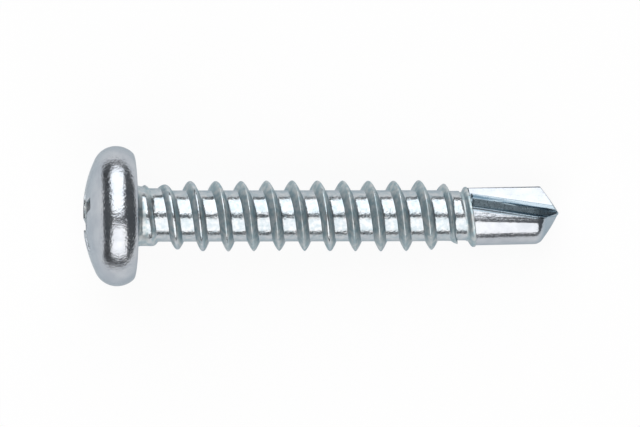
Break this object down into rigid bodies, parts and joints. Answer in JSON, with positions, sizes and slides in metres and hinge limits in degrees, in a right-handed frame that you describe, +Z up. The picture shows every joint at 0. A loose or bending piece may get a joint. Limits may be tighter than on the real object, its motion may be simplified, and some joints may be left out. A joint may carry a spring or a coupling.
{
  "type": "self-drilling sheet metal screw",
  "caption": "Zinc plated self-drilling sheet metal screw with a domed pan head, a cross recess, a tapping thread and a fluted drill point, lying on its side.",
  "frame": {"origin": "middle of the screw's box on the surface that it lies on", "axes": "+Z up, +X from the head towards the tip, with the head's end lifted by its rim"},
  "size_m": [0.0238, 0.007, 0.007],
  "materials": {
    "zinc": "bright bluish zinc plating on case-hardened steel, smooth with a fine mottled grain"
  },
  "bodies": {
    "root": {"screw": "zinc"}
  },
  "joints": []
}
